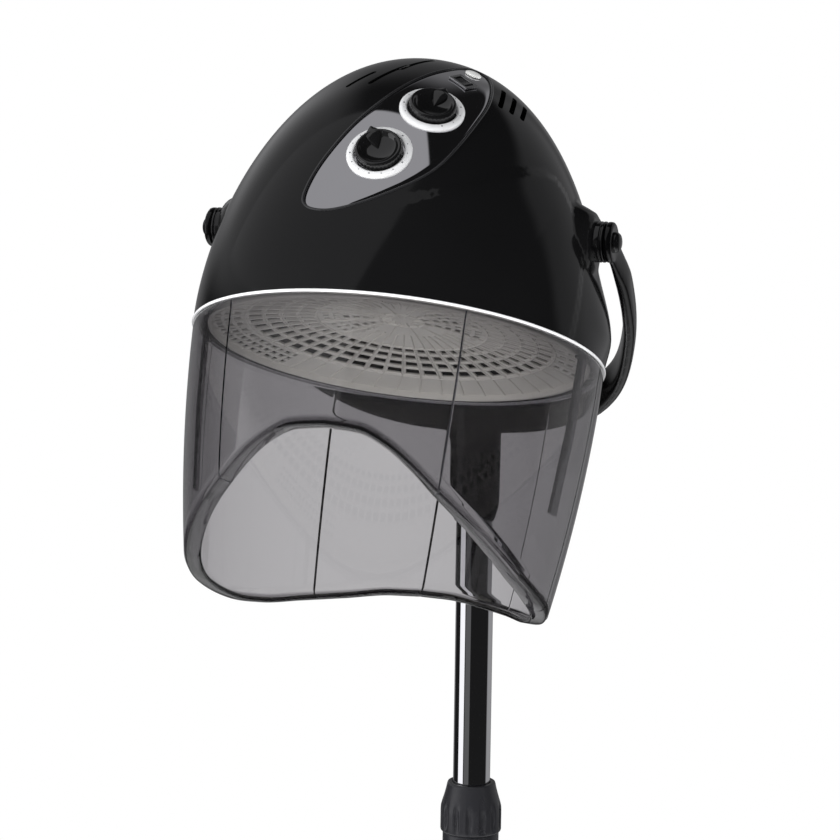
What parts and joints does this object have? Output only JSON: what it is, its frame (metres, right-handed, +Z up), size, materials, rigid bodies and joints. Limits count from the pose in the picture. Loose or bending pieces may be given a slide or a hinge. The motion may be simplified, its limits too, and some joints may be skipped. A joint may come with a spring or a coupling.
{
  "type": "hood hair dryer",
  "caption": "Free-standing hood hair dryer: tilting dome with smoked visor, air grille and dial panel on a fork, height column and star base with castors.",
  "frame": {"origin": "on the floor under the column axis", "axes": "+Z up along the column; -Y towards the sitter, where the hood's front faces; +X to the right seen from the front"},
  "size_m": [0.6267, 0.7625, 1.5576],
  "materials": {
    "base_metal": "satin black coat",
    "column_paint": "gloss",
    "collar_plastic": "satin",
    "chrome": "polished",
    "yoke_black": "satin black coat",
    "yoke_caps": "gloss",
    "shell_black": "gloss",
    "panel_black": "high gloss",
    "bezel_black": "gloss",
    "dial_silver": "satin",
    "knob_black": "gloss",
    "switch_black": "satin",
    "lamp_lens": "gloss",
    "visor_smoke": "clear smoked",
    "trim_silver": "gloss",
    "grille_grey": "satin",
    "inner_plastic": "satin",
    "steel": "plain",
    "mica": "plain",
    "coil_wire": "plain",
    "castor_black": "satin",
    "castor_tread": "satin"
  },
  "bodies": {
    "base": {"star_base": "base_metal", "column_foot_plug": "inner_plastic", "column_bolt": "steel", "lower_column": "column_paint", "column_sleeve": "collar_plastic", "tube_collet": "inner_plastic"},
    "collar": {"height_collar": "collar_plastic"},
    "mast": {"height_tube": "chrome", "tube_guide_plug": "inner_plastic"},
    "yoke": {"yoke": "yoke_black", "swivel_bush": "inner_plastic", "swivel_knob": "collar_plastic", "pivot_bolt_left": "steel", "pivot_bolt_right": "steel", "pivot_nuts": "steel", "pivot_caps": "yoke_caps"},
    "head": {"hood_shell": "shell_black", "control_panel": "panel_black", "panel_bezel": "bezel_black", "timer_dial_ring": "dial_silver", "temperature_dial_ring": "dial_silver", "timer_unit": "inner_plastic", "thermostat_unit": "inner_plastic", "switch_housing": "switch_black", "indicator_lamp": "lamp_lens", "visor": "visor_smoke", "visor_trim_ring": "trim_silver", "visor_screws": "steel", "visor_stay_left": "visor_smoke", "visor_stay_right": "visor_smoke", "diffuser_grille": "grille_grey", "inner_duct": "grille_grey", "fan_housing": "inner_plastic", "motor_bracket": "steel", "fan_motor": "steel", "heater_frame": "mica", "heater_coils": "coil_wire", "thermal_cutout": "steel", "pivot_bush_left": "yoke_caps", "pivot_bush_right": "yoke_caps", "cable_gland": "collar_plastic", "terminal_block": "inner_plastic"},
    "timer": {"timer_knob": "knob_black"},
    "temperature": {"temperature_knob": "knob_black"},
    "rocker": {"rocker_key": "switch_black"},
    "fan": {"fan_impeller": "inner_plastic"},
    "castor_1": {"castor_1_housing": "castor_black"},
    "wheels_1": {"castor_1_wheels": "castor_tread"},
    "castor_2": {"castor_2_housing": "castor_black"},
    "wheels_2": {"castor_2_wheels": "castor_tread"},
    "castor_3": {"castor_3_housing": "castor_black"},
    "wheels_3": {"castor_3_wheels": "castor_tread"},
    "castor_4": {"castor_4_housing": "castor_black"},
    "wheels_4": {"castor_4_wheels": "castor_tread"},
    "castor_5": {"castor_5_housing": "castor_black"},
    "wheels_5": {"castor_5_wheels": "castor_tread"}
  },
  "joints": [
    {"name": "collar_turn", "type": "hinge", "parent": "base", "child": "collar", "pos_m": [0, 0, 0.795], "axis": [0, 0, 1], "range_deg": [0, 270]},
    {"name": "height_slide", "type": "slide", "parent": "base", "child": "mast", "axis": [0, 0, 1], "range_m": [-0.25, 0.15]},
    {"name": "head_swivel", "type": "hinge", "parent": "mast", "child": "yoke", "pos_m": [0, 0, 1.15], "axis": [0, 0, 1], "continuous": true},
    {"name": "hood_tilt", "type": "hinge", "parent": "yoke", "child": "head", "pos_m": [0, -0.2388, 1.3984], "axis": [1, 0, 0], "range_deg": [-25, 22]},
    {"name": "timer_turn", "type": "hinge", "parent": "head", "child": "timer", "pos_m": [0.01415, -0.36845, 1.47948], "axis": [0.0823, -0.7262, 0.6825], "range_deg": [-290, 0]},
    {"name": "temperature_turn", "type": "hinge", "parent": "head", "child": "temperature", "pos_m": [0.04568, -0.31726, 1.51554], "axis": [0.2851, -0.5318, 0.7975], "range_deg": [-135, 135]},
    {"name": "rocker_press", "type": "hinge", "parent": "head", "child": "rocker", "pos_m": [0.05627, -0.26284, 1.53469], "axis": [0.4119, 0.9044, 0.1114], "range_deg": [0, 16]},
    {"name": "fan_spin", "type": "hinge", "parent": "head", "child": "fan", "pos_m": [0, -0.20558, 1.43406], "axis": [0, 0.3795, 0.9252], "continuous": true},
    {"name": "castor_1_swivel", "type": "hinge", "parent": "base", "child": "castor_1", "pos_m": [0, -0.29, 0.07], "axis": [0, 0, 1], "continuous": true},
    {"name": "castor_1_roll", "type": "hinge", "parent": "castor_1", "child": "wheels_1", "pos_m": [-0.01879, -0.29684, 0.025], "axis": [-0.342, 0.9397, 0], "continuous": true},
    {"name": "castor_2_swivel", "type": "hinge", "parent": "base", "child": "castor_2", "pos_m": [0.27581, -0.08962, 0.07], "axis": [0, 0, 1], "continuous": true},
    {"name": "castor_2_roll", "type": "hinge", "parent": "castor_2", "child": "wheels_2", "pos_m": [0.27755, -0.10954, 0.025], "axis": [-0.9962, -0.0872, 0], "continuous": true},
    {"name": "castor_3_swivel", "type": "hinge", "parent": "base", "child": "castor_3", "pos_m": [0.17046, 0.23461, 0.07], "axis": [0, 0, 1], "continuous": true},
    {"name": "castor_3_roll", "type": "hinge", "parent": "castor_3", "child": "wheels_3", "pos_m": [0.18925, 0.22778, 0.025], "axis": [-0.342, -0.9397, 0], "continuous": true},
    {"name": "castor_4_swivel", "type": "hinge", "parent": "base", "child": "castor_4", "pos_m": [-0.17046, 0.23461, 0.07], "axis": [0, 0, 1], "continuous": true},
    {"name": "castor_4_roll", "type": "hinge", "parent": "castor_4", "child": "wheels_4", "pos_m": [-0.16362, 0.25341, 0.025], "axis": [0.9397, -0.342, 0], "continuous": true},
    {"name": "castor_5_swivel", "type": "hinge", "parent": "base", "child": "castor_5", "pos_m": [-0.27581, -0.08962, 0.07], "axis": [0, 0, 1], "continuous": true},
    {"name": "castor_5_roll", "type": "hinge", "parent": "castor_5", "child": "wheels_5", "pos_m": [-0.28866, -0.07429, 0.025], "axis": [0.766, 0.6428, 0], "continuous": true}
  ]
}
